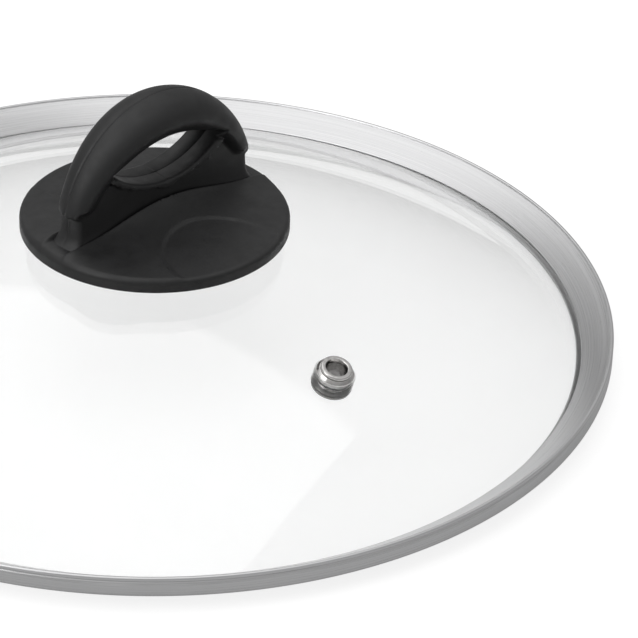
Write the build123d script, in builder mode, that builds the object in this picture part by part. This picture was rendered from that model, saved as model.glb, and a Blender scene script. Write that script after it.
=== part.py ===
"""Domed glass saucepan lid, 24 cm: glass, rolled steel rim, steam vent and looped knob.

Millimetres. Z is the lid's axis, and z = 0 is the plane through the lowest ring of the rim.
X runs along the knob's loop, and the steam vent sits on the -Y side.
"""
from math import asin, cos, radians, sin, sqrt
import os

from build123d import *

# ---- driving dimensions -------------------------------------------------------------------
# rim strip, which reaches outwards and inwards from the wall that drops into the pan
skirt_radius = 116.6
flange_reach = 6.4  # out to the face of the outer band
dish_reach = 1.7  # in to the upper edge on the glass
lip_reach = 4.3  # in to the lower edge under the glass
strip_thickness = 0.4
band_corner = 1.0
hem_radius = 0.31
hem_rise = 5.55  # from the flange to the middle of the rolled edge
crease_drop = 0.5
dish_inner_rise = 0.5  # its upper face, above the flange
skirt_corner = 2.4  # the strip wraps the rounded glass edge

# glass
glass_thickness = 4.0
glass_edge_gap = 0.2  # filled by the sealant
glass_face_gap = 0.2  # between the glass and the strip, above and below
glass_rise = 31.3  # apex above the flange's underside
glass_edge_round = 1.9
sealant_depth = 1.87
sealant_bead = 0.6
sealant_inset = 0.3

# knob
disc_radius = 35.7
disc_edge_height = 3.7
disc_edge_round = 1.3
disc_crown = 2.6
disc_wall = 2.0
disc_rim_wall = 3.0
boss_radius = 9.5
loop_inset = 3.9  # from the disc's side to the loop's foot
loop_height = 35.3  # heights of the loop, ridge and slot are above the disc's edge
loop_half_width = 8.4
loop_half_depth = 5.9
loop_foot_half_width = 4.2
loop_foot_half_depth = 2.2
loop_stations = 13
web_half_thickness = 4.2
ridge_half_thickness = 5.2
ridge_height = 6.5
loop_bar_depth = 11.6  # from the loop's top to the slot
slot_depth = 11.7
slot_crown = 3.7  # from the slot's top to its ends
slot_end_wall = 2.70  # from the loop's centre line to the slot's end
slot_round = 1.0
slot_lip = 2.2

# knob fastening
screw_radius = 2.45
screw_length = 15.0
screw_head_radius = 4.6
screw_head_height = 2.8
screw_recess = 1.6
screw_recess_width = 1.1
screw_tip_chamfer = 0.5
insert_wall = 1.3
insert_length = 9.5
insert_collar_lip = 1.2
insert_collar = 1.2
insert_end = 0.8  # closed end above the thread
thread_clearance = 0.05
washer_radius = 8.0
washer_thickness = 1.0
washer_clearance = 0.2
knob_gasket_radius = 14.0
knob_gasket_thickness = 1.2
screw_gasket_radius = 9.5
screw_gasket_thickness = 1.2
sleeve_wall = 1.95
sleeve_clearance = 0.1

# steam vent
vent_distance = 71.0
vent_bore = 2.55
eyelet_wall = 0.45
eyelet_lip = 1.15  # of the rolled flange past the eyelet's tube
eyelet_flange = 0.9
collar_lip = 0.9  # of the collar past the flange
collar_height = 1.5
collar_draft = 0.35
collar_round = 0.3
vent_gasket_lip = 0.35  # of the gasket past the collar
vent_gasket_thickness = 0.6
vent_gasket_wall = 0.9
backing_lip = 0.15  # of the washer past the collar
backing_thickness = 0.8
clinch_lip = 1.4  # of the clinched end past the eyelet's tube
clinch_thickness = 0.5
vent_clearance = 0.05


# ---- dome geometry ------------------------------------------------------------------------
# The outer face is a sphere through the apex and the foot of the rim's dish.
rim_radius = skirt_radius + flange_reach
dish_inner_radius = skirt_radius - dish_reach
lower_lip_radius = skirt_radius - lip_reach
dome_rise = glass_rise - dish_inner_rise + strip_thickness + glass_face_gap
dome_radius = (dish_inner_radius**2 + dome_rise**2) / (2 * dome_rise)
inner_dome_radius = dome_radius - glass_thickness
glass_edge_radius = skirt_radius - strip_thickness - glass_edge_gap

# The rim's lower lip follows the glass, and its rounded corner is the lowest ring.
half_strip = strip_thickness / 2
wall_line = skirt_radius - half_strip
lip_sphere = inner_dome_radius - glass_face_gap - half_strip
lip_run = wall_line - lower_lip_radius
lip_fall = sqrt(lip_sphere**2 - lower_lip_radius**2) - sqrt(lip_sphere**2 - wall_line**2)
lip_slope = lip_fall / lip_run
corner_lift = skirt_corner * (lip_slope + sqrt(1 + lip_slope**2) - 1) - half_strip
wall_foot_drop = dome_radius - sqrt(lip_sphere**2 - wall_line**2) - glass_rise
rest_height = wall_foot_drop - corner_lift

glass_apex = rest_height + glass_rise
glass_underside = glass_apex - glass_thickness
dome_centre = glass_apex - dome_radius
hem_height = rest_height + hem_rise
dish_inner_height = rest_height + dish_inner_rise


def dome_height(radius, sphere):
    """Height of a sphere about the dome's centre, at a distance from the lid's axis."""
    return dome_centre + sqrt(sphere**2 - radius**2)


def dome_arc(first, last, sphere):
    """The arc of a dome sphere between two distances from the axis, for a profile."""
    middle = (first + last) / 2
    return ThreePointArc(
        (first, dome_height(first, sphere)),
        (middle, dome_height(middle, sphere)),
        (last, dome_height(last, sphere)),
    )


def save(part, name):
    """Labels a finished piece and writes it under its own name."""
    part.label = name
    export_step(part, f"parts/{name}.step")


os.makedirs("parts", exist_ok=True)

# ---- vent placing -------------------------------------------------------------------------
vent_tilt = asin(vent_distance / dome_radius)
vent_point = (0, -vent_distance, dome_height(vent_distance, dome_radius))
vent_plane = Plane(
    origin=vent_point, x_dir=(1, 0, 0), z_dir=(0, -sin(vent_tilt), cos(vent_tilt))
)
vent_profile = Plane(
    origin=vent_point, x_dir=(1, 0, 0), z_dir=(0, -cos(vent_tilt), -sin(vent_tilt))
)
vent_axis = Axis(vent_point, (0, -sin(vent_tilt), cos(vent_tilt)))
eyelet_radius = vent_bore + eyelet_wall
eyelet_flange_radius = eyelet_radius + eyelet_lip
clinch_radius = eyelet_radius + clinch_lip
collar_radius = eyelet_flange_radius + collar_lip
vent_gasket_radius = collar_radius + vent_gasket_lip
backing_radius = collar_radius + backing_lip
vent_gasket_bore = eyelet_radius + vent_clearance
vent_sleeve_radius = vent_gasket_bore + vent_gasket_wall
vent_hole_radius = vent_sleeve_radius + vent_clearance
# The flat vent seats touch the curved glass at the hole's edge above and their rim below.
seat_sag = dome_radius - sqrt(dome_radius**2 - vent_hole_radius**2)
backing_sag = inner_dome_radius - sqrt(inner_dome_radius**2 - vent_gasket_radius**2)

# ---- holes for the screw ------------------------------------------------------------------
insert_bore = screw_radius + thread_clearance
insert_radius = insert_bore + insert_wall
insert_collar_radius = insert_radius + insert_collar_lip
sleeve_bore = screw_radius + sleeve_clearance
sleeve_radius = sleeve_bore + sleeve_wall
glass_hole_radius = sleeve_radius + sleeve_clearance

# ---- glass dome ---------------------------------------------------------------------------
with BuildPart() as glass_dome:
    with BuildSketch(Plane.XZ) as glass_profile:
        with BuildLine():
            dome_arc(0, glass_edge_radius, dome_radius)
            Line(
                (glass_edge_radius, dome_height(glass_edge_radius, dome_radius)),
                (glass_edge_radius, dome_height(glass_edge_radius, inner_dome_radius)),
            )
            dome_arc(glass_edge_radius, 0, inner_dome_radius)
            Line((0, glass_underside), (0, glass_apex))
        make_face()
        ground_corners = glass_profile.vertices().group_by(Axis.X)[-1]
        fillet(ground_corners, glass_edge_round)
    revolve(axis=Axis.Z)
    Hole(glass_hole_radius)
    with BuildSketch(vent_plane):
        Circle(vent_hole_radius)
    extrude(amount=3 * glass_thickness, both=True, mode=Mode.SUBTRACT)
save(glass_dome.part, "glass_dome")

# ---- rolled steel rim ---------------------------------------------------------------------
band_line = rim_radius - half_strip
hem_line = band_line - 2.1 * hem_radius
rim_points = [
    (lower_lip_radius, dome_height(lower_lip_radius, lip_sphere)),
    (wall_line, dome_height(wall_line, lip_sphere)),
    (wall_line, rest_height + half_strip),
    (band_line, rest_height + half_strip),
    (band_line, hem_height),
    (hem_line, hem_height),
    (hem_line, hem_height - crease_drop),
    (dish_inner_radius, dish_inner_height - half_strip),
]
rim_radii = [skirt_corner, hem_radius, band_corner, hem_radius, hem_radius, hem_radius]
with BuildPart() as rim_band:
    with BuildSketch(Plane.XZ):
        with BuildLine() as rim_path:
            FilletPolyline(*rim_points, radius=rim_radii)
        trace(rim_path.line, line_width=strip_thickness)
    revolve(axis=Axis.Z)
save(rim_band.part, "rim_band")

# ---- sealant between the glass edge and the rim -------------------------------------------
bead_sphere = dome_radius + sealant_bead
bead_start = dish_inner_radius + sealant_inset
wall_inside = skirt_radius - strip_thickness
sealant_foot = rest_height - sealant_depth
with BuildPart() as rim_sealant:
    with BuildSketch(Plane.XZ):
        with BuildLine():
            dome_arc(bead_start, wall_inside, bead_sphere)
            Polyline(
                (wall_inside, dome_height(wall_inside, bead_sphere)),
                (wall_inside, sealant_foot),
                (bead_start, sealant_foot),
                (bead_start, dome_height(bead_start, bead_sphere)),
            )
        make_face()
    revolve(axis=Axis.Z)
    add(glass_dome.part, mode=Mode.SUBTRACT)
    add(rim_band.part, mode=Mode.SUBTRACT)
save(rim_sealant.part, "rim_sealant")

# ---- knob body ----------------------------------------------------------------------------
knob_seat = glass_apex + knob_gasket_thickness
disc_edge = knob_seat + disc_edge_height
loop_reach = disc_radius - loop_inset - loop_foot_half_depth
loop_climb = loop_height - loop_half_depth
slot_high = loop_height - loop_bar_depth
slot_low = slot_high - slot_depth
slot_end_height = slot_high - slot_crown
slot_half_length = loop_reach * sqrt(1 - (slot_end_height / loop_climb) ** 2) - slot_end_wall

with BuildPart() as loop_bar:
    # Elliptical sections along a half ellipse, widest and deepest at the top.
    for station in range(loop_stations):
        turn = radians(180 * station / (loop_stations - 1))
        swell = sin(turn)
        section = Plane(
            origin=(loop_reach * cos(turn), 0, disc_edge + loop_climb * sin(turn)),
            x_dir=(0, 1, 0),
            z_dir=(-loop_reach * sin(turn), 0, loop_climb * cos(turn)),
        )
        with BuildSketch(section):
            Ellipse(
                loop_foot_half_width + (loop_half_width - loop_foot_half_width) * swell,
                loop_foot_half_depth + (loop_half_depth - loop_foot_half_depth) * swell,
            )
    loft()
    for side in (-1, 1):
        foot = Plane.XY.offset(knob_seat + disc_wall)
        with BuildSketch(foot):
            with Locations((side * loop_reach, 0)):
                Ellipse(loop_foot_half_depth, loop_foot_half_width)
        extrude(amount=disc_edge_height - disc_wall)

with BuildPart() as knob_body:
    with BuildSketch(Plane.XZ) as disc_profile:
        with BuildLine():
            Polyline(
                (0, disc_edge + disc_crown),
                (0, knob_seat),
                (boss_radius, knob_seat),
                (boss_radius, disc_edge - disc_wall),
                (disc_radius - disc_rim_wall, disc_edge - disc_wall),
                (disc_radius - disc_rim_wall, knob_seat),
                (disc_radius, knob_seat),
                (disc_radius, disc_edge),
            )
            ThreePointArc(
                (disc_radius, disc_edge),
                (disc_radius / 2, disc_edge + disc_crown / 4),
                (0, disc_edge + disc_crown),
            )
        make_face()
        top_corner = disc_profile.vertices().group_by(Axis.X)[-1].sort_by(Axis.Y)[-1]
        fillet(top_corner, disc_edge_round)
    revolve(axis=Axis.Z)
    # the thin wall that fills the loop
    with BuildSketch(Plane.XZ):
        with Locations((0, disc_edge)):
            Ellipse(loop_reach, loop_climb)
            Rectangle(
                2 * loop_reach, loop_climb, align=(Align.CENTER, Align.MAX), mode=Mode.SUBTRACT
            )
    extrude(amount=web_half_thickness, both=True)
    # the ridge where that wall meets the disc
    with BuildSketch(Plane.XZ):
        with Locations((0, disc_edge)):
            Ellipse(loop_reach, ridge_height)
            Rectangle(
                2 * loop_reach, ridge_height, align=(Align.CENTER, Align.MAX), mode=Mode.SUBTRACT
            )
    extrude(amount=ridge_half_thickness, both=True)
    add(loop_bar.part)
    # a raised lip round the finger slot, then the slot
    with BuildSketch(Plane.XZ) as slot_outline:
        with BuildLine():
            ThreePointArc(
                (-slot_half_length, disc_edge + slot_end_height),
                (0, disc_edge + slot_low),
                (slot_half_length, disc_edge + slot_end_height),
            )
            ThreePointArc(
                (slot_half_length, disc_edge + slot_end_height),
                (0, disc_edge + slot_high),
                (-slot_half_length, disc_edge + slot_end_height),
            )
        make_face()
        fillet(slot_outline.vertices(), slot_round)
    with BuildSketch(Plane.XZ):
        add(slot_outline.sketch_local)
        offset(amount=slot_lip)
    extrude(amount=ridge_half_thickness, both=True)
    with BuildSketch(Plane.XZ):
        add(slot_outline.sketch_local)
    extrude(amount=3 * loop_half_width, both=True, mode=Mode.SUBTRACT)
    # socket for the threaded insert
    with BuildSketch(Plane.XY.offset(knob_seat)):
        Circle(insert_radius)
    extrude(amount=insert_length, mode=Mode.SUBTRACT)
    with BuildSketch(Plane.XY.offset(knob_seat)):
        Circle(insert_collar_radius)
    extrude(amount=insert_collar, mode=Mode.SUBTRACT)
save(knob_body.part, "knob_body")

# ---- knob fastening -----------------------------------------------------------------------
with BuildPart() as knob_insert:
    with BuildSketch(Plane.XY.offset(knob_seat)):
        Circle(insert_collar_radius)
    extrude(amount=insert_collar)
    with BuildSketch(Plane.XY.offset(knob_seat + insert_collar)):
        Circle(insert_radius)
    extrude(amount=insert_length - insert_collar)
    with BuildSketch(Plane.XY.offset(knob_seat)):
        Circle(insert_bore)
    extrude(amount=insert_length - insert_end, mode=Mode.SUBTRACT)
save(knob_insert.part, "knob_insert")

with BuildPart() as knob_gasket:
    with BuildSketch(Plane.XZ):
        with BuildLine():
            dome_arc(glass_hole_radius, knob_gasket_radius, dome_radius)
            Polyline(
                (knob_gasket_radius, dome_height(knob_gasket_radius, dome_radius)),
                (knob_gasket_radius, knob_seat),
                (glass_hole_radius, knob_seat),
                (glass_hole_radius, dome_height(glass_hole_radius, dome_radius)),
            )
        make_face()
    revolve(axis=Axis.Z)
save(knob_gasket.part, "knob_gasket")

gasket_foot = dome_height(screw_gasket_radius, inner_dome_radius) - screw_gasket_thickness
with BuildPart() as screw_gasket:
    with BuildSketch(Plane.XZ):
        with BuildLine():
            dome_arc(sleeve_radius, screw_gasket_radius, inner_dome_radius)
            Polyline(
                (screw_gasket_radius, dome_height(screw_gasket_radius, inner_dome_radius)),
                (screw_gasket_radius, gasket_foot),
                (sleeve_bore, gasket_foot),
                (sleeve_bore, glass_apex),
                (sleeve_radius, glass_apex),
                (sleeve_radius, dome_height(sleeve_radius, inner_dome_radius)),
            )
        make_face()
    revolve(axis=Axis.Z)
save(screw_gasket.part, "screw_gasket")

with BuildPart() as screw_washer:
    with BuildSketch(Plane.XY.offset(gasket_foot)):
        Circle(washer_radius)
        Circle(screw_radius + washer_clearance, mode=Mode.SUBTRACT)
    extrude(amount=-washer_thickness)
    washer_rim = screw_washer.edges().filter_by(GeomType.CIRCLE).group_by(SortBy.RADIUS)[-1]
    chamfer(washer_rim.group_by(Axis.Z)[0], washer_thickness / 4)
save(screw_washer.part, "screw_washer")

head_face = gasket_foot - washer_thickness
with BuildPart() as knob_screw:
    with BuildSketch(Plane.XY.offset(head_face)):
        Circle(screw_head_radius)
    extrude(amount=-screw_head_height)
    head_rim = knob_screw.edges().filter_by(GeomType.CIRCLE).sort_by(Axis.Z)[0]
    fillet(head_rim, screw_head_height / 2)
    with BuildSketch(Plane.XY.offset(head_face)):
        Circle(screw_radius)
    extrude(amount=screw_length)
    tip = knob_screw.edges().filter_by(GeomType.CIRCLE).sort_by(Axis.Z)[-1]
    chamfer(tip, screw_tip_chamfer)
    with BuildSketch(Plane.XY.offset(head_face - screw_head_height)):
        Rectangle(screw_head_radius, screw_recess_width)
        Rectangle(screw_recess_width, screw_head_radius)
    extrude(amount=screw_recess, mode=Mode.SUBTRACT)
save(knob_screw.part, "knob_screw")

# ---- steam vent ---------------------------------------------------------------------------
# Heights here run along the vent's own axis, from the glass's outer face.
gasket_seat = -seat_sag
collar_seat = gasket_seat + vent_gasket_thickness
eyelet_seat = collar_seat + collar_height
backing_seat = -glass_thickness - backing_sag - vent_gasket_thickness
clinch_seat = backing_seat - backing_thickness

with BuildPart() as vent_gasket:
    with BuildSketch(vent_profile):
        with BuildLine():
            Polyline(
                (vent_gasket_bore, collar_seat),
                (vent_gasket_radius, collar_seat),
                (vent_gasket_radius, gasket_seat),
                (vent_sleeve_radius, gasket_seat),
                (vent_sleeve_radius, backing_seat + vent_gasket_thickness),
                (vent_gasket_radius, backing_seat + vent_gasket_thickness),
                (vent_gasket_radius, backing_seat),
                (vent_gasket_bore, backing_seat),
                close=True,
            )
        make_face()
    revolve(axis=vent_axis)
save(vent_gasket.part, "vent_gasket")

with BuildPart() as vent_collar:
    with BuildSketch(vent_profile) as collar_profile:
        with BuildLine():
            Polyline(
                (vent_gasket_bore, collar_seat),
                (collar_radius, collar_seat),
                (collar_radius - collar_draft, eyelet_seat),
                (vent_gasket_bore, eyelet_seat),
                close=True,
            )
        make_face()
        collar_top = collar_profile.vertices().group_by(Axis.Y)[-1].sort_by(Axis.X)[-1]
        fillet(collar_top, collar_round)
    revolve(axis=vent_axis)
save(vent_collar.part, "vent_collar")

with BuildPart() as vent_eyelet:
    with BuildSketch(vent_profile) as eyelet_profile:
        with BuildLine():
            Polyline(
                (vent_bore, eyelet_seat + eyelet_flange),
                (eyelet_flange_radius, eyelet_seat + eyelet_flange),
                (eyelet_flange_radius, eyelet_seat),
                (eyelet_radius, eyelet_seat),
                (eyelet_radius, clinch_seat),
                (clinch_radius, clinch_seat),
                (clinch_radius, clinch_seat - clinch_thickness),
                (vent_bore, clinch_seat - clinch_thickness),
                close=True,
            )
        make_face()
        rolled_corners = eyelet_profile.vertices().group_by(Axis.Y)[-1]
        fillet(rolled_corners, eyelet_flange / 2)
        clinched_corners = eyelet_profile.vertices().group_by(Axis.Y)[0]
        fillet(clinched_corners, clinch_thickness / 2)
    revolve(axis=vent_axis)
save(vent_eyelet.part, "vent_eyelet")

with BuildPart() as vent_backing_washer:
    with BuildSketch(vent_profile):
        with BuildLine():
            Polyline(
                (vent_gasket_bore, backing_seat),
                (backing_radius, backing_seat),
                (backing_radius, clinch_seat),
                (vent_gasket_bore, clinch_seat),
                close=True,
            )
        make_face()
    revolve(axis=vent_axis)
save(vent_backing_washer.part, "vent_backing_washer")
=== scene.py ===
# %% [markdown]
# # A domed glass saucepan lid
# The lid is a tempered glass dome in a rolled steel rim, with a moulded black loop knob
# held by one screw and a small steel steam vent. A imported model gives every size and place.
# Blender's job here is to give those pieces their fine shape and their finishes.

# %% Load the frame
from math import asin, cos, radians, sin, sqrt

import bpy
import numpy as np
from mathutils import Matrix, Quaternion, Vector


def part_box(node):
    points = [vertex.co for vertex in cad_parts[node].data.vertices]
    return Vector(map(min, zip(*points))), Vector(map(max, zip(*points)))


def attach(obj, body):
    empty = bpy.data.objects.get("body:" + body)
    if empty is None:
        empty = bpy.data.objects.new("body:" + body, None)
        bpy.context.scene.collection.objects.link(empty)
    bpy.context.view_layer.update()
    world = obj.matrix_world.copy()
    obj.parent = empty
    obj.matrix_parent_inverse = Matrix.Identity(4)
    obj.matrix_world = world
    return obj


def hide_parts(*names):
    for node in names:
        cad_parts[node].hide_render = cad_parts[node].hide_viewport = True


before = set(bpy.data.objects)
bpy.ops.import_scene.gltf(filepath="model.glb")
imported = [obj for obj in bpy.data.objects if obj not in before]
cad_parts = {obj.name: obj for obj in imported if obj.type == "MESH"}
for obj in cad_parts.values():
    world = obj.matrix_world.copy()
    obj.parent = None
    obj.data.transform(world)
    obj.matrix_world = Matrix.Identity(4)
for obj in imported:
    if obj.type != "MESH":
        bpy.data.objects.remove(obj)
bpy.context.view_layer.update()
mm = 0.001
print("nodes in the frame:", sorted(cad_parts))

# %% [markdown]
# ## Sizes that everything shares
# The rim, the glass and the knob are all stacked on one another, so a few radii and heights
# drive the rest. The rim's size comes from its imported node. The dome is part of a sphere,
# and a sphere's radius follows from how wide and how tall its cap is.

# %% Rim and dome sizes
rim_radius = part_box("rim_band")[1][0]
rim_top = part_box("rim_band")[1][2]
strip_thickness = 0.4 * mm
half_strip = strip_thickness / 2
skirt_radius = rim_radius - 6.4 * mm
dish_radius = skirt_radius - 1.7 * mm
lip_radius = skirt_radius - 4.3 * mm
glass_face_gap = 0.2 * mm  # between the glass and the strip, above and below
glass_thickness = 4.0 * mm
glass_edge_radius = skirt_radius - strip_thickness - 0.2 * mm
hem_height = rim_top - half_strip
rest_height = hem_height - 5.55 * mm
dish_height = rest_height + 0.5 * mm
glass_apex = rest_height + 31.3 * mm

dome_rise = glass_apex - dish_height + strip_thickness + glass_face_gap
dome_radius = (dish_radius**2 + dome_rise**2) / (2 * dome_rise)
dome_centre = glass_apex - dome_radius
inner_dome_radius = dome_radius - glass_thickness
lip_sphere = inner_dome_radius - glass_face_gap - half_strip


def dome_height(radius, sphere):
    """Height of a sphere about the dome's centre: its centre plus sqrt(sphere^2 - radius^2)."""
    return dome_centre + np.sqrt(sphere**2 - np.square(radius))


print(f"glass sphere {dome_radius / mm:.1f} mm, apex {glass_apex / mm:.1f} mm up")

# %% Knob sizes
knob_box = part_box("knob_body")
knob_seat = knob_box[0][2]
disc_radius = knob_box[1][0]
disc_edge = knob_seat + 3.7 * mm
arch_half_length = disc_radius - 3.9 * mm
arch_height = knob_box[1][2] - disc_edge
print(f"knob disc {2 * disc_radius / mm:.1f} mm across, loop {arch_height / mm:.1f} mm tall")

# %% [markdown]
# ## Grids into meshes
# Every surface below is a grid of points worked out with numpy. Two small functions turn such
# a grid into a mesh. One closes the grid round on itself, as for a ring, and one carries a
# closed outline round an axis, as a lathe does.

# %% Mesh helpers
smooth_angle = radians(35)


def grid_piece(name, points):
    """A closed ring of closed outlines: points[i, j] joins its neighbours, wrapping both ways."""
    rows, columns = points.shape[:2]
    row, column = np.meshgrid(np.arange(rows), np.arange(columns), indexing="ij")
    next_row = (row + 1) % rows
    next_column = (column + 1) % columns
    corners = [
        row * columns + column,
        next_row * columns + column,
        next_row * columns + next_column,
        row * columns + next_column,
    ]
    return mesh_piece(name, points.reshape(-1, 3), np.stack(corners, axis=-1).reshape(-1, 4))


def mesh_piece(name, vertices, quads):
    """A smooth-shaded mesh object from an array of points and an array of four-cornered faces."""
    mesh = bpy.data.meshes.new(name)
    mesh.vertices.add(len(vertices))
    mesh.vertices.foreach_set("co", np.asarray(vertices, dtype=np.float32).ravel())
    mesh.loops.add(quads.size)
    mesh.loops.foreach_set("vertex_index", quads.astype(np.int32).ravel())
    mesh.polygons.add(len(quads))
    mesh.polygons.foreach_set("loop_start", np.arange(0, quads.size, 4, dtype=np.int32))
    mesh.update(calc_edges=True)
    mesh.validate()
    mesh.shade_smooth()
    mesh.set_sharp_from_angle(angle=smooth_angle)
    piece = bpy.data.objects.new(name, mesh)
    bpy.context.collection.objects.link(piece)
    return piece


def rounded(corners, radii, steps=6):
    """Rounds a path's corners: each arc touches both sides, its centre on their bisector."""
    corners = np.asarray(corners, dtype=float)
    count = len(corners)
    path = []
    for index, radius in enumerate(radii):
        corner = corners[index]
        if radius == 0:
            path.append(corner[None])
            continue
        before = corners[index - 1] - corner
        after = corners[(index + 1) % count] - corner
        before /= np.linalg.norm(before)
        after /= np.linalg.norm(after)
        half_angle = np.arccos(before @ after) / 2
        bisector = (before + after) / np.linalg.norm(before + after)
        centre = corner + bisector * radius / sin(half_angle)
        first = corner + before * radius / np.tan(half_angle) - centre
        last = corner + after * radius / np.tan(half_angle) - centre
        sweep = np.pi - 2 * half_angle
        share = np.linspace(0, 1, steps)[:, None]
        arc = (np.sin((1 - share) * sweep) * first + np.sin(share * sweep) * last) / sin(sweep)
        path.append(centre + arc)
    return np.vstack(path)


def turned(name, outline, segments=256, centre=(0, 0, 0), tilt=0.0):
    """Turns a closed outline of (radius, height) round the z axis, then tips it about x."""
    radius, height = np.asarray(outline, dtype=float).T
    area = np.sum(radius * np.roll(height, -1) - np.roll(radius, -1) * height)
    if area < 0:
        radius, height = radius[::-1], height[::-1]
    turn = np.linspace(0, 2 * np.pi, segments, endpoint=False)[:, None]
    x = radius * np.cos(turn)
    y = radius * np.sin(turn)
    z = np.broadcast_to(height, x.shape)
    tipped_y = y * cos(tilt) - z * sin(tilt)
    tipped_z = y * sin(tilt) + z * cos(tilt)
    return grid_piece(name, np.stack([x, tipped_y, tipped_z], axis=-1) + np.array(centre))


# %% [markdown]
# ## Finishes from nodes
# Each finish starts from one Principled shader. Noise textures on Object coordinates vary its
# colour and roughness and give it a fine bump, so no surface is one flat value. Two helpers
# keep the node code short: one makes the material, and one adds a noise with its own range.

# %% Material helpers


def new_finish(name, **settings):
    """A material with one Principled shader whose named inputs are set straight on the shader."""
    material = bpy.data.materials.new(name)
    material.use_nodes = True
    shader = material.node_tree.nodes["Principled BSDF"]
    for socket, value in settings.items():
        shader.inputs[socket.replace("_", " ")].default_value = value
    return material, material.node_tree, shader


def add(tree, kind, **settings):
    """Adds a node and sets its plain properties."""
    node = tree.nodes.new(kind)
    for key, value in settings.items():
        setattr(node, key, value)
    return node


def noise(tree, scale, detail=2.0, roughness=0.5, vector=None):
    """A noise value between 0 and 1, in Object coordinates unless another vector is given."""
    node = add(tree, "ShaderNodeTexNoise")
    node.inputs["Scale"].default_value = scale
    node.inputs["Detail"].default_value = detail
    node.inputs["Roughness"].default_value = roughness
    if vector is None:
        vector = add(tree, "ShaderNodeTexCoord").outputs["Object"]
    tree.links.new(vector, node.inputs["Vector"])
    return node.outputs["Fac"]


def spread(tree, value, low, high, target, start=0.3, end=0.7):
    """Maps a value from start..end to low..high, numbers or colours, and links it to an input."""
    if np.ndim(low):
        ramp = add(tree, "ShaderNodeMix", data_type="RGBA")
        ramp.inputs["A"].default_value = (*low, 1)
        ramp.inputs["B"].default_value = (*high, 1)
        ranged = add(tree, "ShaderNodeMapRange")
        ranged.inputs["From Min"].default_value = start
        ranged.inputs["From Max"].default_value = end
        tree.links.new(value, ranged.inputs["Value"])
        tree.links.new(ranged.outputs["Result"], ramp.inputs["Factor"])
        tree.links.new(ramp.outputs["Result"], target)
        return
    ranged = add(tree, "ShaderNodeMapRange")
    for socket, number in zip(("From Min", "From Max", "To Min", "To Max"), (start, end, low, high)):
        ranged.inputs[socket].default_value = number
    tree.links.new(value, ranged.inputs["Value"])
    tree.links.new(ranged.outputs["Result"], target)


def bump(tree, shader, value, depth, strength=1.0):
    """A bump of the given depth in metres on the shader's normal, on top of any bump before it."""
    node = add(tree, "ShaderNodeBump")
    node.inputs["Distance"].default_value = depth
    node.inputs["Strength"].default_value = strength
    tree.links.new(value, node.inputs["Height"])
    if shader.inputs["Normal"].is_linked:
        tree.links.new(shader.inputs["Normal"].links[0].from_socket, node.inputs["Normal"])
    tree.links.new(node.outputs["Normal"], shader.inputs["Normal"])


def dress(node, material):
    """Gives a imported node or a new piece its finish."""
    if node.material_slots:
        for holder in node.material_slots:
            holder.material = material
    else:
        node.data.materials.append(material)


def stand_for(piece, node, material):
    """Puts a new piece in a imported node's place, on the lid's one body, in its finish."""
    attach(piece, "root")
    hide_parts(node)
    dress(piece, material)
    print(f"{piece.name}: {len(piece.data.polygons)} faces in {material.name}")


# %% [markdown]
# ## The steel rim
# The rim is one strip of stainless steel, rolled round the glass. Its lower lip lies under
# the glass, its wall drops into the pan, a flange rests on the pan's edge, and an outer band
# ends in a hem that folds back over a dish. A fine groove runs round the band under the hem. A
# lathe is the natural way to make it: the strip's middle line is a path with rounded corners,
# and both faces are that path moved sideways.

# %% Rim strip
wall_line = skirt_radius - half_strip
band_line = rim_radius - half_strip
hem_radius = 0.31 * mm
hem_line = band_line - 2.1 * hem_radius
crease_drop = 0.5 * mm
skirt_corner = 2.4 * mm
band_corner = 1.0 * mm
groove_height = hem_height - 1.05 * mm
groove_half_width = 0.45 * mm
band_groove_depth = 0.3 * mm
rim_segments = 720


def strip_outline(path, half):
    """A strip's outline: its middle line moved sideways both ways, with half-round ends."""
    along = np.gradient(path, axis=0)
    along /= np.linalg.norm(along, axis=1, keepdims=True)
    across = np.stack([-along[:, 1], along[:, 0]], axis=1)
    turn = np.linspace(0, np.pi, 7)[1:-1, None]
    far_end = path[-1] + half * (np.cos(turn) * across[-1] + np.sin(turn) * along[-1])
    near_end = path[0] - half * (np.cos(turn) * across[0] + np.sin(turn) * along[0])
    return np.vstack([path + half * across, far_end, (path - half * across)[::-1], near_end])


rim_corners = [
    (lip_radius, dome_height(lip_radius, lip_sphere)),
    (wall_line, dome_height(wall_line, lip_sphere)),
    (wall_line, rest_height + half_strip),
    (band_line, rest_height + half_strip),
    (band_line, groove_height - groove_half_width),
    (band_line - band_groove_depth, groove_height),
    (band_line, groove_height + groove_half_width),
    (band_line, hem_height),
    (hem_line, hem_height),
    (hem_line, hem_height - crease_drop),
    (dish_radius, dish_height - half_strip),
]
groove_radii = [0.25 * mm, 0.25 * mm, 0.12 * mm]
rim_radii = [0, skirt_corner, hem_radius, band_corner, *groove_radii, *[hem_radius] * 3, 0]
rim_path = rounded(rim_corners, rim_radii, steps=9)
rim_strip = turned("rim_strip", strip_outline(rim_path, half_strip), rim_segments)

# %% [markdown]
# ## Satin brushing that follows the ring
# The strip is brushed along its length, so on the lid the lines run round the axis. A noise
# stretched along x would not follow the ring. Instead the noise reads distance from the axis
# and height, which do not change along a brushing line, and only drifts slowly round the ring.

# %% Brushed steel


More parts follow.
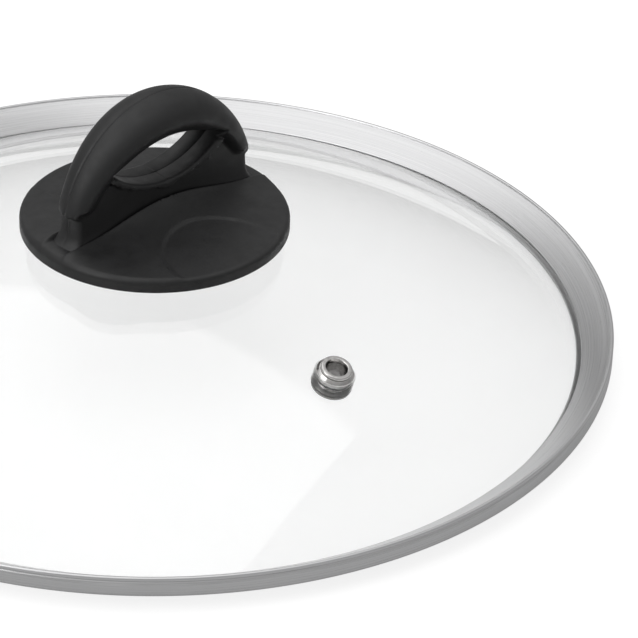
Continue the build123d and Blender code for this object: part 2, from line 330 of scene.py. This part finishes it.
def ring_vector(tree, fineness, drift):
    """A vector of (distance from the axis, height, slow drift) for lines that run round z."""
    where = add(tree, "ShaderNodeTexCoord").outputs["Object"]
    flat = add(tree, "ShaderNodeVectorMath", operation="MULTIPLY")
    flat.inputs[1].default_value = (1, 1, 0)
    tree.links.new(where, flat.inputs[0])
    distance = add(tree, "ShaderNodeVectorMath", operation="LENGTH")
    tree.links.new(flat.outputs["Vector"], distance.inputs[0])
    parts = add(tree, "ShaderNodeSeparateXYZ")
    tree.links.new(where, parts.inputs["Vector"])
    lines = []
    for source in (distance.outputs["Value"], parts.outputs["Z"]):
        scaled = add(tree, "ShaderNodeMath", operation="MULTIPLY")
        scaled.inputs[1].default_value = fineness
        tree.links.new(source, scaled.inputs[0])
        lines.append(scaled.outputs["Value"])
    wander = add(tree, "ShaderNodeMath", operation="MULTIPLY")
    wander.inputs[1].default_value = 3.0
    tree.links.new(noise(tree, drift, vector=where), wander.inputs[0])
    joined = add(tree, "ShaderNodeCombineXYZ")
    for socket, value in zip("XYZ", (*lines, wander.outputs["Value"])):
        tree.links.new(value, joined.inputs[socket])
    return joined.outputs["Vector"]


def satin_steel():
    """Stainless steel brushed round the ring: fine lines in colour, roughness and bump."""
    material, tree, shader = new_finish("satin_stainless", Metallic=1.0, Anisotropic=0.55)
    tangent = add(tree, "ShaderNodeTangent", direction_type="RADIAL", axis="Z")
    tree.links.new(tangent.outputs["Tangent"], shader.inputs["Tangent"])
    brushing = noise(tree, 1.0, 3.0, 0.6, ring_vector(tree, 9000, 30))
    spread(tree, brushing, (0.52, 0.52, 0.525), (0.74, 0.74, 0.745), shader.inputs["Base Color"])
    spread(tree, brushing, 0.26, 0.38, shader.inputs["Roughness"])
    bump(tree, shader, brushing, 0.00002, 0.6)
    return material


steel = satin_steel()
stand_for(rim_strip, "rim_band", steel)

# %% [markdown]
# ## The glass dome
# The glass is 4 mm of tempered soda-lime glass, bent to part of a sphere, with its edge
# ground round. Its outline is two arcs about one centre joined by that edge, so a lathe makes
# it with a true wall, which is what makes light bend through it as it should. The vent's hole
# does not lie on the axis, so it is cut afterwards with a tilted plug.

# %% Glass dome
glass_hole_radius = 4.6 * mm
glass_edge_round = 1.9 * mm
arc_points = 64
glass_segments = 384


def on_dome(radius, sphere):
    """Points (radius, height) on one of the dome's spheres."""
    return np.stack([radius, dome_height(radius, sphere)], axis=1)


def glass_outline():
    """The dome's section: outer arc from hole to edge, rounded edge, and the inner arc back."""
    top_reach = 2.5 * glass_edge_round
    foot_reach = 1.2 * glass_edge_round
    outward = np.linspace(glass_hole_radius, glass_edge_radius - foot_reach, arc_points)
    inward = np.linspace(glass_edge_radius - top_reach, glass_hole_radius, arc_points)
    outer = on_dome(outward, dome_radius)
    inner = on_dome(inward, inner_dome_radius)
    corners = [outer[-1]]
    corners += [(glass_edge_radius, dome_height(glass_edge_radius, dome_radius))]
    corners += [(glass_edge_radius, dome_height(glass_edge_radius, inner_dome_radius))]
    corners += [inner[0]]
    edge = rounded(corners, [0, glass_edge_round, glass_edge_round, 0], steps=10)
    return np.vstack([outer, edge[1:-1], inner])


vent_bore = 2.55 * mm
eyelet_radius = vent_bore + 0.45 * mm
vent_gasket_bore = eyelet_radius + 0.05 * mm
vent_sleeve_radius = vent_gasket_bore + 0.9 * mm
vent_hole_radius = vent_sleeve_radius + 0.05 * mm
vent_distance = 71 * mm
vent_tilt = asin(vent_distance / dome_radius)
vent_point = (0, -vent_distance, dome_height(vent_distance, dome_radius))


def cut(piece, tool):
    """Takes the tool's solid out of the piece and removes the tool."""
    modifier = piece.modifiers.new("cut", "BOOLEAN")
    modifier.operation = "DIFFERENCE"
    modifier.solver = "EXACT"
    modifier.object = tool
    apply_modifier(piece)
    bpy.data.objects.remove(tool)


def apply_modifier(piece):
    """Bakes a piece's modifiers into its mesh and marks its sharp edges again."""
    graph = bpy.context.evaluated_depsgraph_get()
    mesh = bpy.data.meshes.new_from_object(piece.evaluated_get(graph))
    piece.modifiers.clear()
    piece.data = mesh
    mesh.shade_smooth()
    mesh.set_sharp_from_angle(angle=smooth_angle)


def plug(name, radius, height, centre, tilt, segments=96):
    """A closed round plug: a lathe outline that starts and ends a hair from the axis."""
    core = radius / 1000
    outline = [(core, -height), (radius, -height), (radius, height), (core, height)]
    return turned(name, outline, segments, centre, tilt)


glass = turned("glass_shell", glass_outline(), glass_segments)
cut(glass, plug("vent_drill", vent_hole_radius, 3 * glass_thickness, vent_point, vent_tilt))

# %% [markdown]
# Clear glass needs very little: full transmission, almost no roughness and a very faint tint.
# Tempering leaves the surface slightly wavy, so a broad, shallow bump bends the reflections a
# little, and a trace of uneven polish varies the roughness.

# %% Clear glass


def clear_glass():
    """Tempered glass: clear, with faint waves in its surface and an almost even polish."""
    material, tree, shader = new_finish(
        "tempered_glass",
        Base_Color=(0.975, 0.978, 0.977, 1),
        Transmission_Weight=1.0,
        IOR=1.5,
    )
    spread(tree, noise(tree, 18, 2.0), 0.0, 0.012, shader.inputs["Roughness"])
    bump(tree, shader, noise(tree, 14, 0.0), 0.0002, 0.15)
    return material


clear = clear_glass()
stand_for(glass, "glass_dome", clear)

# %% [markdown]
# ## The knob's disc
# The knob is one moulding, but it is easier to describe as two: a disc that sits over the
# glass, and a standing loop. The disc's top is a height field: a low crown, a hollow sweep up
# to the ridge along the loop, and a shallow thumb rest on each long side. It is sampled on a
# polar grid whose spokes crowd together near the loop, where the shape changes fastest.

# %% Knob disc
disc_spokes = 432
disc_edge_round = 1.3 * mm
disc_crown = 0.8 * mm
ridge_middle = 6.5 * mm
ridge_end = 2.0 * mm
ridge_line = 4.9 * mm
ridge_crest = 0.9 * mm
trough_depth = 1.6 * mm
trough_side = (0.05 * mm, 1.3 * mm)
sweep_length = 6.6 * mm
flat_rim = 7 * mm
thumb_centre = 29 * mm
thumb_radius = 17 * mm
thumb_depth = 0.35 * mm
thumb_step = 0.9 * mm
top_wall = 2.0 * mm
rim_wall = 3.0 * mm
bottom_lip = 0.15 * mm
boss_radius = 9.5 * mm


def smooth_step(value, low, high):
    """0 below low and 1 above high, with 3t^2 - 2t^3 between them."""
    share = np.clip((value - low) / (high - low), 0, 1)
    return share * share * (3 - 2 * share)


def disc_top(x, y):
    """Height above the disc's edge: crown + swept ridge - trough - thumb rest."""
    distance = np.hypot(x, y)
    side = np.abs(y)
    crown = disc_crown * (1 - (distance / disc_radius) ** 2)
    quarter_turn = np.clip(np.abs(x) / disc_radius, 0, 1) * np.pi / 2
    ridge = ridge_end + (ridge_middle - ridge_end) * np.cos(quarter_turn) ** 2.7
    past_ridge = np.clip(side - ridge_line, 0, None)
    sweep = np.exp(-past_ridge / sweep_length) * (0.93 + 0.07 * np.exp(-past_ridge / ridge_crest))
    trough = trough_depth * smooth_step(ridge_line - side, *trough_side)
    rim_share = np.clip((distance - (disc_radius - flat_rim)) / flat_rim, 0, 1)
    rise = (ridge - crown) * sweep * (1 - rim_share**3)
    from_thumb = np.hypot(x, side - thumb_centre)
    thumb = thumb_depth * smooth_step(thumb_radius - from_thumb, 0, thumb_step)
    return crown + rise - trough * (1 - rim_share) - thumb


def disc_outline():
    """(radius, height below or above the edge, share of the top's own height) for each ring."""
    flat = np.linspace(0.02, 1, 84) ** 0.8 * (disc_radius - disc_edge_round)
    turn = np.linspace(0, np.pi / 2, 8)[1:]
    corner_radius = disc_radius - disc_edge_round * (1 - np.sin(turn))
    corner_drop = disc_edge_round * (1 - np.cos(turn))
    under = knob_seat - disc_edge
    inner_wall = disc_radius - rim_wall
    rings = [(radius, 0, 1) for radius in flat]
    rings += list(zip(corner_radius, -corner_drop, np.cos(turn) ** 2))
    rings += [(disc_radius, under * share, 0) for share in (0.5, 0.75)]
    rings += [(disc_radius, under + bottom_lip, 0), (disc_radius - bottom_lip, under, 0)]
    rings += [(inner_wall, under, 0), (inner_wall - bottom_lip, under + bottom_lip, 0)]
    rings += [(inner_wall - bottom_lip, -top_wall, 0), (boss_radius + bottom_lip, -top_wall, 0)]
    rings += [(boss_radius, under + bottom_lip, 0), (boss_radius - bottom_lip, under, 0)]
    rings += [(flat[0], under, 0)]
    return np.array(rings).T


def knob_disc():
    """Each ring of the outline, carried round by spokes that crowd towards the x axis."""
    even = np.linspace(0, 2 * np.pi, disc_spokes, endpoint=False)
    turn = (even - 0.3 * np.sin(2 * even))[:, None]
    radius, drop, share = disc_outline()
    x = radius * np.cos(turn)
    y = radius * np.sin(turn)
    z = disc_edge + drop + share * disc_top(x, y)
    return grid_piece("knob_disc", np.stack([x, y, z], axis=-1))


disc = knob_disc()
print("knob disc:", len(disc.data.polygons), "faces")

# %% [markdown]
# ## The knob's loop
# The loop stands on the disc: a bar bent to half an ellipse, thick at the top and thin at its
# feet, over a thinner web. A finger slot shaped like a lens goes through it, with a raised lip
# below. Seen from the side it is a ring round the slot, so it is sampled on lines from the
# slot out to the loop's outline, and every point moves out by the loop's half thickness there.

# %% Loop thickness
bar_half_width = (3.9 * mm, 8.4 * mm)
bar_depth = (4.4 * mm, 11.8 * mm)
bar_foot = 8.8 * mm
bar_foot_round = 2.6 * mm
bar_foot_step = 1.2 * mm
web_half = 3.8 * mm
web_flare = 1.8 * mm
web_flare_height = 2.2 * mm
web_round = 1.8 * mm
neck_half_length = 29.3 * mm
neck_flare = 4.3 * mm
neck_flare_height = 1.6 * mm
neck_blend = (12 * mm, 16 * mm)
lip_half = 5.7 * mm
lip_width = 2.3 * mm
lip_slope = 1.3 * mm
lip_blend = 1.0 * mm
web_blend = 1.2 * mm
slot_half_length = 19 * mm
slot_low = 12 * mm
slot_depth = 11.6 * mm
slot_crown = 3.7 * mm
slot_high = arch_height - slot_depth
slot_end_height = slot_high - slot_crown
foot_depth = 1.4 * mm


def smooth_max(first, second, reach):
    """The larger of two values, with a fillet of the given reach where they cross."""
    overlap = np.clip(reach - np.abs(first - second), 0, None)
    return np.maximum(first, second) + overlap**2 / (4 * reach)


def outline_x(z):
    """Half length of the loop at a height: an ellipse above, and a neck that flares below."""
    above = np.clip(z, 0, None)
    ellipse = arch_half_length * np.sqrt(np.clip(1 - (above / arch_height) ** 2, 0, 1))
    neck = neck_half_length + neck_flare * np.exp(-above / neck_flare_height)
    return neck + (ellipse - neck) * smooth_step(z, bar_foot, bar_foot + bar_foot_step)


def loop_half(x, z):
    """Half thickness at a point of the loop's plane: an elliptical bar blended with the web."""
    above = np.clip(z, 0, None)
    swell = np.sin(np.arctan2(above / arch_height, np.abs(x) / arch_half_length))
    reach = np.hypot(x / arch_half_length, above / arch_height)
    width = bar_half_width[0] + (bar_half_width[1] - bar_half_width[0]) * swell**1.2
    depth = bar_depth[0] + (bar_depth[1] - bar_depth[0]) * swell
    inside_arch = (1 - reach) * (arch_half_length + (arch_height - arch_half_length) * swell)
    across = np.clip(inside_arch / depth, 0, 1)
    bar = width * np.sqrt(np.clip(1 - (2 * across - 1) ** 2, 0, 1))
    bar = bar * np.sqrt(np.clip((z - bar_foot) / bar_foot_round, 0, 1))
    inside_neck = outline_x(z) - np.abs(x)
    inside = inside_arch + (inside_neck - inside_arch) * smooth_step(-z, -neck_blend[1], -neck_blend[0])
    web = web_half + web_flare * np.exp(-above / web_flare_height)
    web = web * np.sqrt(1 - (1 - np.clip(inside / web_round, 0, 1)) ** 2)
    return smooth_max(bar, web, web_blend)


# %% [markdown]
# The mould's two halves meet on the loop's middle plane, which leaves a fine line along its
# spine, down the feet and round the inside of the slot. Here it is a real groove, as it is on
# the moulding.

# %% Loop surface
loop_lines = 288
sheet_steps = 44
slot_round = 1.1 * mm
shoulder = radians(42)
side_part = 0.39
groove_half = 0.28 * mm
groove_depth = 0.22 * mm


def arc_through(start, middle_height, share):
    """A symmetric arc from (start x, z) over (0, middle height), at shares 0 to 1 of its length."""
    half, end_height = start
    rise = middle_height - end_height
    radius = (half**2 + rise**2) / (2 * rise)
    half_turn = np.arcsin(half / radius)
    turn = half_turn * (1 - 2 * share)
    return radius * np.sin(turn), middle_height - radius * (1 - np.cos(turn))


def loop_rails():
    """The slot's edge and the loop's outline, matched point by point, from +x over the top."""
    share = np.linspace(0, 1, loop_lines // 2, endpoint=False)
    slot_end = (slot_half_length, slot_end_height)
    ease = share - 0.06 * np.sin(4 * np.pi * share)
    top_x, top_z = arc_through(slot_end, slot_high, ease)
    low_x, low_z = arc_through(slot_end, slot_low, 1 - ease)
    turn = shoulder + (np.pi - 2 * shoulder) * share
    over_x = arch_half_length * np.cos(turn)
    over_z = arch_height * np.sin(turn)
    half = share <= 0.5
    down_share = np.clip(share / side_part, 0, 1)
    shoulder_z = arch_height * sin(shoulder)
    side_z = shoulder_z - (shoulder_z + foot_depth) * down_share
    floor_share = np.clip((share - side_part) / (0.5 - side_part), 0, 1)
    side_x = outline_x(side_z) * (1 - floor_share)
    back_x = -np.roll(side_x[::-1], 1)
    back_z = np.roll(side_z[::-1], 1)
    below_x = np.where(half, side_x, back_x)
    below_z = np.where(half, side_z, back_z)
    slot = np.stack([np.r_[top_x, low_x], np.r_[top_z, low_z]], axis=1)
    outline = np.stack([np.r_[over_x, -below_x], np.r_[over_z, below_z]], axis=1)
    return slot, outline


def knob_loop():
    """A ring of closed sections: out along the front sheet, over the spine, back, and inside."""
    slot, outline = loop_rails()
    share = (1 - np.cos(np.linspace(0, np.pi, sheet_steps))) / 2
    share = share[None, :, None]
    plane = outline[:, None] * (1 - share) + slot[:, None] * share
    x, z = plane[..., 0], plane[..., 1]
    from_slot = np.linalg.norm(plane - slot[:, None], axis=-1)
    half = loop_half(x, z)
    below = np.arange(loop_lines)[:, None] >= loop_lines // 2
    toward_end = smooth_step(np.abs(slot[:, None, 0]), slot_half_length, 0.86 * slot_half_length)
    lip = lip_half * smooth_step(from_slot, lip_width + lip_slope, lip_width) * below * toward_end
    half = smooth_max(half, lip, lip_blend)
    inside = np.clip(slot_round - from_slot, 0, slot_round)
    half = half - (slot_round - np.sqrt(slot_round**2 - inside**2))
    half = np.maximum(half, groove_half)
    front = np.stack([x, -half, z], axis=-1)
    back = np.stack([x, half, z], axis=-1)[:, ::-1]
    inward = slot - outline
    inward /= np.linalg.norm(inward, axis=1, keepdims=True)
    slot_groove = across(slot, -inward, [-groove_half, 0, groove_half], [0, groove_depth, 0])
    spine_groove = across(outline, inward, [0], [groove_depth])
    sections = np.concatenate([front, slot_groove, back, spine_groove], axis=1)
    sections[..., 2] += disc_edge
    return grid_piece("knob_loop", sections)


def across(edge, into, y, sunk):
    """Points beside an edge, at the given places across the loop and depths into it."""
    plane = edge[:, None] + into[:, None] * np.array(sunk)[:, None]
    y = np.broadcast_to(y, plane.shape[:2])
    return np.stack([plane[..., 0], y, plane[..., 1]], axis=-1)


loop = knob_loop()
print("knob loop:", len(loop.data.polygons), "faces")

# %% [markdown]
# ## One moulding
# The disc and the loop are joined into one closed skin, as the real moulding is. A Boolean
# union drops the parts of each that lie inside the other.

# %% Knob moulding


def join(piece, other):
    """Adds another closed solid to a piece and removes the other object."""
    modifier = piece.modifiers.new("join", "BOOLEAN")
    modifier.operation = "UNION"
    modifier.solver = "EXACT"
    modifier.object = other
    apply_modifier(piece)
    bpy.data.objects.remove(other)


join(disc, loop)
disc.name = "knob_moulding"


def black_moulding():
    """Soft-touch black: a fine spark-eroded grain, slightly uneven sheen, faint cloudiness."""
    material, tree, shader = new_finish("black_moulding", Specular_IOR_Level=0.5)
    cloud = noise(tree, 90, 4.0)
    spread(tree, cloud, (0.006, 0.006, 0.0063), (0.010, 0.010, 0.0104), shader.inputs["Base Color"])
    spread(tree, noise(tree, 260, 3.0), 0.44, 0.58, shader.inputs["Roughness"])
    bump(tree, shader, noise(tree, 5200, 2.0, 0.7), 0.00003, 0.5)
    return material


black = black_moulding()
stand_for(disc, "knob_body", black)

# %% [markdown]
# ## The steam vent
# A tubular rivet holds the vent together. Its flange is rolled over on top of a small dished
# collar, and its tail is clinched on a washer under the glass. Everything is round about the
# vent's own axis, which is tipped to stand square on the dome, so each piece is a lathe shape
# whose heights run along that axis from the glass.

# %% Vent pieces
seat_sag = dome_radius - sqrt(dome_radius**2 - vent_hole_radius**2)
eyelet_flange_radius = eyelet_radius + 1.15 * mm
collar_radius = eyelet_flange_radius + 0.9 * mm
vent_gasket_radius = collar_radius + 0.35 * mm
clinch_radius = eyelet_radius + 1.4 * mm
backing_sag = inner_dome_radius - sqrt(inner_dome_radius**2 - vent_gasket_radius**2)
gasket_seat = -seat_sag
collar_seat = gasket_seat + 0.6 * mm
eyelet_seat = collar_seat + 1.5 * mm
eyelet_top = eyelet_seat + 0.9 * mm
backing_seat = -glass_thickness - backing_sag - 0.6 * mm
clinch_seat = backing_seat - 0.8 * mm
vent_segments = 160


def vent_part(name, corners, radii, steps=8):
    """A lathe shape about the vent's axis, from (radius, height above the glass) corners."""
    outline = rounded(corners, radii, steps=steps)
    return turned(name, outline, vent_segments, vent_point, vent_tilt)


collar = vent_part(
    "vent_collar_dish",
    [
        (vent_gasket_bore, collar_seat),
        (collar_radius, collar_seat),
        (collar_radius - 0.1 * mm, collar_seat + 0.8 * mm),
        (collar_radius - 0.75 * mm, eyelet_seat),
        (vent_gasket_bore, eyelet_seat),
    ],
    [0, 0.15 * mm, 0.35 * mm, 0.25 * mm, 0],
)
eyelet = vent_part(
    "vent_eyelet_roll",
    [
        (vent_bore, clinch_seat - 0.4 * mm),
        (clinch_radius, clinch_seat - 0.5 * mm),
        (clinch_radius, clinch_seat),
        (eyelet_radius, clinch_seat),
        (eyelet_radius, eyelet_seat),
        (eyelet_flange_radius, eyelet_seat),
        (eyelet_flange_radius, eyelet_top),
        (eyelet_radius - 0.05 * mm, eyelet_top),
        (vent_bore, eyelet_top - 1.1 * mm),
    ],
    [0.2 * mm, 0.2 * mm, 0.2 * mm, 0, 0, 0.4 * mm, 0.42 * mm, 0.3 * mm, 0.5 * mm],
)


def bright_steel():
    """Polished stainless steel: a near mirror with hairline marks and slight waviness."""
    material, tree, shader = new_finish("bright_stainless", Metallic=1.0)
    marks = noise(tree, 900, 4.0, 0.6)
    spread(tree, marks, (0.50, 0.49, 0.48), (0.62, 0.61, 0.60), shader.inputs["Base Color"])
    spread(tree, marks, 0.14, 0.24, shader.inputs["Roughness"])
    bump(tree, shader, noise(tree, 1500, 2.0), 0.00002, 0.4)
    return material


bright = bright_steel()
stand_for(collar, "vent_collar", bright)
stand_for(eyelet, "vent_eyelet", bright)

# %% [markdown]
# ## The small fittings
# The gaskets, washers, screw, insert and sealant are plain turned parts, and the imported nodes
# already have their true shape. They keep their meshes and get their own finishes: soft
# silicones with a dusty bloom, plated steel, brass, and the clear bead under the rim.

# %% Fittings' finishes


def silicone(name, dark, light, transmission):
    """Silicone rubber: satin, slightly mottled, and either tinted through or milky."""
    material, tree, shader = new_finish(name, IOR=1.42, Transmission_Weight=transmission)
    spread(tree, noise(tree, 300, 3.0), dark, light, shader.inputs["Base Color"])
    spread(tree, noise(tree, 700, 2.0), 0.38, 0.55, shader.inputs["Roughness"])
    bump(tree, shader, noise(tree, 2500, 3.0), 0.00004, 0.4)
    return material


def turned_metal(name, dark, light, smoothest, roughest):
    """A turned and plated metal: fine tool lines round the lid's axis."""
    material, tree, shader = new_finish(name, Metallic=1.0)
    lines = noise(tree, 1.0, 2.0, 0.5, ring_vector(tree, 7000, 60))
    spread(tree, lines, dark, light, shader.inputs["Base Color"])
    spread(tree, lines, smoothest, roughest, shader.inputs["Roughness"])
    bump(tree, shader, lines, 0.00002, 0.4)
    return material


grey_silicone = silicone("grey_silicone", (0.42, 0.42, 0.43), (0.52, 0.52, 0.53), 0.0)
clear_silicone = silicone("clear_silicone", (0.93, 0.93, 0.925), (0.97, 0.97, 0.965), 1.0)
sealant = silicone("clear_sealant", (0.78, 0.79, 0.79), (0.90, 0.91, 0.91), 0.6)
brass = turned_metal("brass", (0.62, 0.44, 0.19), (0.78, 0.58, 0.28), 0.24, 0.38)
plated = turned_metal("plated_steel", (0.50, 0.50, 0.51), (0.66, 0.66, 0.67), 0.20, 0.34)
fittings = {
    "rim_sealant": sealant,
    "knob_gasket": grey_silicone,
    "screw_gasket": grey_silicone,
    "screw_washer": plated,
    "knob_screw": plated,
    "knob_insert": brass,
    "vent_gasket": clear_silicone,
    "vent_backing_washer": bright,
}
for node, material in fittings.items():
    dress(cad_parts[node], material)
print("fittings dressed:", ", ".join(fittings))

# %% [markdown]
# ## The floor
# A pale board under the lid. It glows as well as catching light, and more in direct view than
# on its neighbours, so the glass stays bright and the lid throws only a faint shadow.

# %% Floor
floor_half = 3.0
glow_around = 0.20
glow_seen = 0.80
floor_corners = [(-1, -1, 0), (1, -1, 0), (1, 1, 0), (-1, 1, 0)]
floor = mesh_piece("floor", np.array(floor_corners) * floor_half, np.array([[0, 1, 2, 3]]))


def pale_floor():
    """Matt white board with a very faint mottle; it glows more in direct view than it lights."""
    material, tree, shader = new_finish("pale_floor", Roughness=0.9, Specular_IOR_Level=0.1)
    spread(tree, noise(tree, 40, 3.0), (0.33, 0.33, 0.33), (0.35, 0.35, 0.35), shader.inputs["Base Color"])
    path = add(tree, "ShaderNodeLightPath").outputs
    seen = add(tree, "ShaderNodeMath", operation="MAXIMUM")
    tree.links.new(path["Is Camera Ray"], seen.inputs[0])
    tree.links.new(path["Is Transmission Ray"], seen.inputs[1])
    shader.inputs["Emission Color"].default_value = (1, 1, 1, 1)
    spread(tree, seen.outputs["Value"], glow_around, glow_seen, shader.inputs["Emission Strength"], 0, 1)
    return material


floor.data.materials.append(pale_floor())

# %% [markdown]
# ## Light
# The light is soft and comes mostly from above. The surroundings are pale overhead and grey
# near the horizon, because brushed steel shows what stands round it, and an even white room
# would leave it without form. A large lamp on the left gives the knob's loop its sheen.

# %% World and lamps
world = bpy.data.worlds.new("studio")
bpy.context.scene.world = world
world.use_nodes = True
sky = world.node_tree
backdrop = sky.nodes["Background"]
direction = add(sky, "ShaderNodeTexCoord").outputs["Generated"]
split = add(sky, "ShaderNodeSeparateXYZ")
sky.links.new(direction, split.inputs["Vector"])
spread(sky, split.outputs["Z"], (0.25, 0.25, 0.25), (0.56, 0.56, 0.56), backdrop.inputs["Color"], 0.0, 0.8)
backdrop.inputs["Strength"].default_value = 1.15


def softbox(name, centre, aim, size, power):
    """A square area lamp that looks from its centre at a point."""
    lamp = bpy.data.lights.new(name, "AREA")
    lamp.shape = "SQUARE"
    lamp.size = size
    lamp.energy = power
    holder = bpy.data.objects.new(name, lamp)
    holder.location = centre
    holder.rotation_euler = (Vector(aim) - Vector(centre)).to_track_quat("-Z", "Y").to_euler()
    bpy.context.collection.objects.link(holder)


softbox("overhead", (-0.2, 0.5, 1.6), (0, 0, 0), 2.2, 11)
softbox("left", (-1.3, 0.1, 0.9), (0, 0, 0.03), 0.8, 6)

# %% [markdown]
# ## Camera
# A long lens looks down on the lid from its front left, turned a little about its own line of
# sight. It aims at a point in the plane of the outer band.

# %% Camera
camera_azimuth = radians(-43)
camera_elevation = radians(31.62)
camera_roll = radians(1.79)
camera_distance = 0.9731
camera_aim = Vector((0.03662, -0.0254, rest_height + half_strip * 2.5))
camera_data = bpy.data.cameras.new("camera")
camera_data.lens = 203.13
camera_data.sensor_width = 36
camera_data.clip_start = 0.05
camera = bpy.data.objects.new("camera", camera_data)
bpy.context.collection.objects.link(camera)
away = Vector(
    (
        sin(camera_azimuth) * cos(camera_elevation),
        -cos(camera_azimuth) * cos(camera_elevation),
        sin(camera_elevation),
    )
)
camera.location = camera_aim + away * camera_distance
camera.rotation_mode = "QUATERNION"
level = (-away).to_track_quat("-Z", "Y")
camera.rotation_quaternion = level @ Quaternion((0, 0, 1), camera_roll)
bpy.context.scene.camera = camera
bpy.context.scene.view_settings.view_transform = "Standard"
